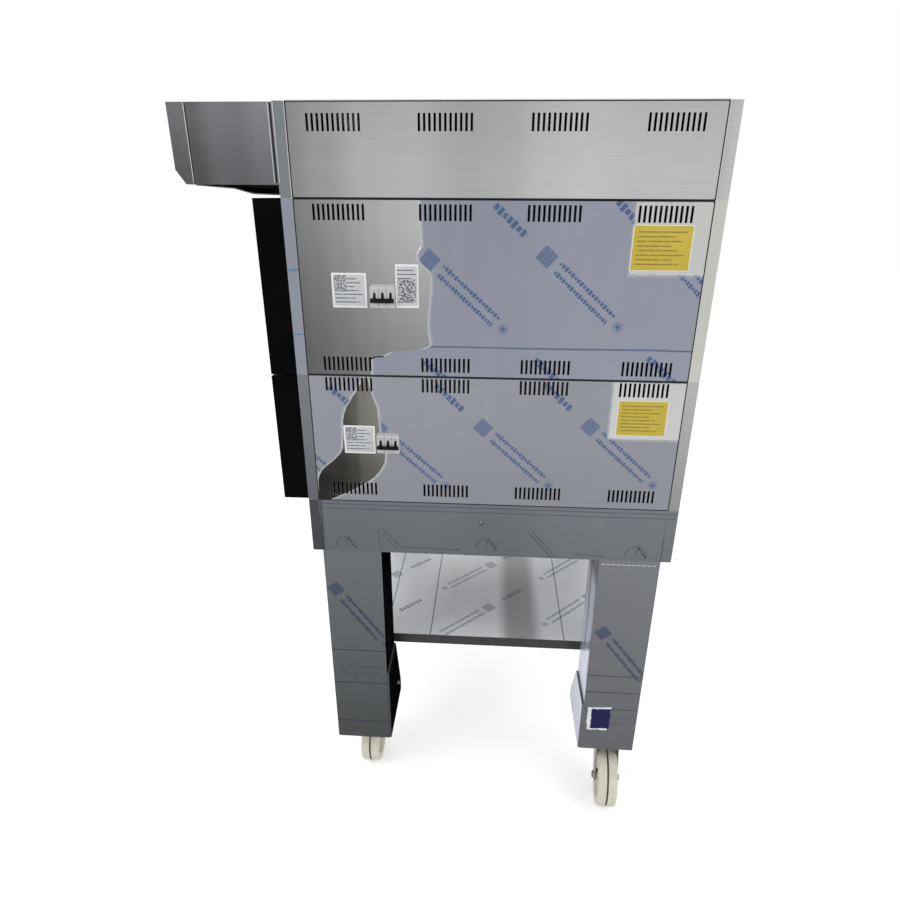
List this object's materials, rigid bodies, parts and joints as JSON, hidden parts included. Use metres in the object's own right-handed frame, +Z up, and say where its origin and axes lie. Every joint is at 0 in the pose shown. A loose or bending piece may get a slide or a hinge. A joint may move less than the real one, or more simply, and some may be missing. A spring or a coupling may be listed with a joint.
{
  "type": "double deck oven",
  "caption": "Double deck electric oven on a wheeled stand with a shelf, slotted stainless side panels, drop-down doors and a hood with a canopy and duct spigot.",
  "frame": {"origin": "on the floor, under the middle of the whole outline", "axes": "+Z up, the doors and canopy face -Y, the breakers are on the +X side"},
  "size_m": [1.1776, 1.133, 1.895],
  "materials": {
    "brushed_stainless": "satin, brushed",
    "filmed_stainless": "satin under a pale blue protective film",
    "black_front": "satin black",
    "chamber_steel": "plain",
    "baking_stone": "matte",
    "insulation_wool": "matte",
    "element_metal": "oxidised",
    "door_glass": "clear",
    "black_plastic": "matte",
    "breaker_plastic": "matte",
    "control_parts": "semi-gloss",
    "handle_steel": "polished satin",
    "zinc_steel": "zinc plated",
    "caster_nylon": "semi-matte",
    "gland_plastic": "matte",
    "lamp_glass": "clear"
  },
  "bodies": {
    "oven_body": {"base_front_rail": "filmed_stainless", "base_left_rail": "filmed_stainless", "base_rear_rail": "filmed_stainless", "base_right_rail": "filmed_stainless", "cable_glands": "gland_plastic", "canopy": "brushed_stainless", "caster_plates": "zinc_steel", "drip_tray": "brushed_stainless", "hood_casing": "brushed_stainless", "hood_side_left": "brushed_stainless", "hood_side_right": "brushed_stainless", "leg_front_left": "filmed_stainless", "leg_front_right": "filmed_stainless", "leg_rear_left": "filmed_stainless", "leg_rear_right": "filmed_stainless", "lower_baking_stones": "baking_stone", "lower_breaker": "breaker_plastic", "lower_carcass": "brushed_stainless", "lower_chamber": "chamber_steel", "lower_controls": "control_parts", "lower_front": "black_front", "lower_heating_elements": "element_metal", "lower_insulation": "insulation_wool", "lower_lamp_and_probe": "lamp_glass", "lower_side_left": "filmed_stainless", "lower_side_right": "filmed_stainless", "stand_shelf": "filmed_stainless", "upper_baking_stones": "baking_stone", "upper_breaker": "breaker_plastic", "upper_carcass": "brushed_stainless", "upper_chamber": "chamber_steel", "upper_controls": "control_parts", "upper_front": "black_front", "upper_heating_elements": "element_metal", "upper_insulation": "insulation_wool", "upper_lamp_and_probe": "lamp_glass", "upper_side_left": "filmed_stainless", "upper_side_right": "filmed_stainless"},
    "lower_door": {"lower_door": "black_front", "lower_door_glass": "door_glass", "lower_door_handle": "handle_steel"},
    "lower_top_heat_knob": {"lower_top_heat_knob": "black_plastic"},
    "lower_bottom_heat_knob": {"lower_bottom_heat_knob": "black_plastic"},
    "lower_light_switch": {"lower_light_switch": "black_plastic"},
    "lower_breaker_toggle": {"lower_breaker_toggle": "black_plastic"},
    "upper_door": {"upper_door": "black_front", "upper_door_glass": "door_glass", "upper_door_handle": "handle_steel"},
    "upper_top_heat_knob": {"upper_top_heat_knob": "black_plastic"},
    "upper_bottom_heat_knob": {"upper_bottom_heat_knob": "black_plastic"},
    "upper_light_switch": {"upper_light_switch": "black_plastic"},
    "upper_breaker_toggle": {"upper_breaker_toggle": "black_plastic"},
    "caster_fork_front_right": {"caster_fork_front_right": "zinc_steel"},
    "caster_wheel_front_right": {"caster_wheel_front_right": "caster_nylon"},
    "caster_fork_front_left": {"caster_fork_front_left": "zinc_steel"},
    "caster_wheel_front_left": {"caster_wheel_front_left": "caster_nylon"},
    "caster_fork_rear_right": {"caster_fork_rear_right": "zinc_steel"},
    "caster_wheel_rear_right": {"caster_wheel_rear_right": "caster_nylon"},
    "caster_fork_rear_left": {"caster_fork_rear_left": "zinc_steel"},
    "caster_wheel_rear_left": {"caster_wheel_rear_left": "caster_nylon"}
  },
  "joints": [
    {"name": "lower_door_hinge", "type": "hinge", "parent": "oven_body", "child": "lower_door", "pos_m": [-0.095, -0.4055, 1.034], "axis": [1, 0, 0], "range_deg": [0, 90]},
    {"name": "lower_top_heat_knob_turn", "type": "hinge", "parent": "oven_body", "child": "lower_top_heat_knob", "pos_m": [0.413, -0.4135, 1.196], "axis": [0, 1, 0], "range_deg": [0, 300]},
    {"name": "lower_bottom_heat_knob_turn", "type": "hinge", "parent": "oven_body", "child": "lower_bottom_heat_knob", "pos_m": [0.413, -0.4135, 1.126], "axis": [0, 1, 0], "range_deg": [0, 300]},
    {"name": "lower_light_switch_rock", "type": "hinge", "parent": "oven_body", "child": "lower_light_switch", "pos_m": [0.413, -0.4115, 1.064], "axis": [-1, 0, 0], "range_deg": [0, 16]},
    {"name": "lower_breaker_toggle_throw", "type": "hinge", "parent": "oven_body", "child": "lower_breaker_toggle", "pos_m": [0.521, -0.15, 1.131], "axis": [0, -1, 0], "range_deg": [0, 50]},
    {"name": "upper_door_hinge", "type": "hinge", "parent": "oven_body", "child": "upper_door", "pos_m": [-0.095, -0.4055, 1.371], "axis": [1, 0, 0], "range_deg": [0, 90]},
    {"name": "upper_top_heat_knob_turn", "type": "hinge", "parent": "oven_body", "child": "upper_top_heat_knob", "pos_m": [0.413, -0.4135, 1.533], "axis": [0, 1, 0], "range_deg": [0, 300]},
    {"name": "upper_bottom_heat_knob_turn", "type": "hinge", "parent": "oven_body", "child": "upper_bottom_heat_knob", "pos_m": [0.413, -0.4135, 1.463], "axis": [0, 1, 0], "range_deg": [0, 300]},
    {"name": "upper_light_switch_rock", "type": "hinge", "parent": "oven_body", "child": "upper_light_switch", "pos_m": [0.413, -0.4115, 1.401], "axis": [-1, 0, 0], "range_deg": [0, 16]},
    {"name": "upper_breaker_toggle_throw", "type": "hinge", "parent": "oven_body", "child": "upper_breaker_toggle", "pos_m": [0.521, -0.15, 1.472], "axis": [0, -1, 0], "range_deg": [0, 50]},
    {"name": "caster_swivel_front_right", "type": "hinge", "parent": "oven_body", "child": "caster_fork_front_right", "pos_m": [0.449, -0.2535, 0.1857], "axis": [0, 0, 1], "continuous": true},
    {"name": "caster_roll_front_right", "type": "hinge", "parent": "caster_fork_front_right", "child": "caster_wheel_front_right", "pos_m": [0.391, -0.2535, 0.08], "axis": [0, 1, 0], "continuous": true},
    {"name": "caster_swivel_front_left", "type": "hinge", "parent": "oven_body", "child": "caster_fork_front_left", "pos_m": [-0.449, -0.2535, 0.1857], "axis": [0, 0, 1], "continuous": true},
    {"name": "caster_roll_front_left", "type": "hinge", "parent": "caster_fork_front_left", "child": "caster_wheel_front_left", "pos_m": [-0.391, -0.2535, 0.08], "axis": [0, -1, 0], "continuous": true},
    {"name": "caster_swivel_rear_right", "type": "hinge", "parent": "oven_body", "child": "caster_fork_rear_right", "pos_m": [0.449, 0.4645, 0.1857], "axis": [0, 0, 1], "continuous": true},
    {"name": "caster_roll_rear_right", "type": "hinge", "parent": "caster_fork_rear_right", "child": "caster_wheel_rear_right", "pos_m": [0.50678, 0.45944, 0.08], "axis": [-0.0872, -0.9962, 0], "continuous": true},
    {"name": "caster_swivel_rear_left", "type": "hinge", "parent": "oven_body", "child": "caster_fork_rear_left", "pos_m": [-0.449, 0.4645, 0.1857], "axis": [0, 0, 1], "continuous": true},
    {"name": "caster_roll_rear_left", "type": "hinge", "parent": "caster_fork_rear_left", "child": "caster_wheel_rear_left", "pos_m": [-0.50678, 0.45944, 0.08], "axis": [-0.0872, 0.9962, 0], "continuous": true}
  ]
}
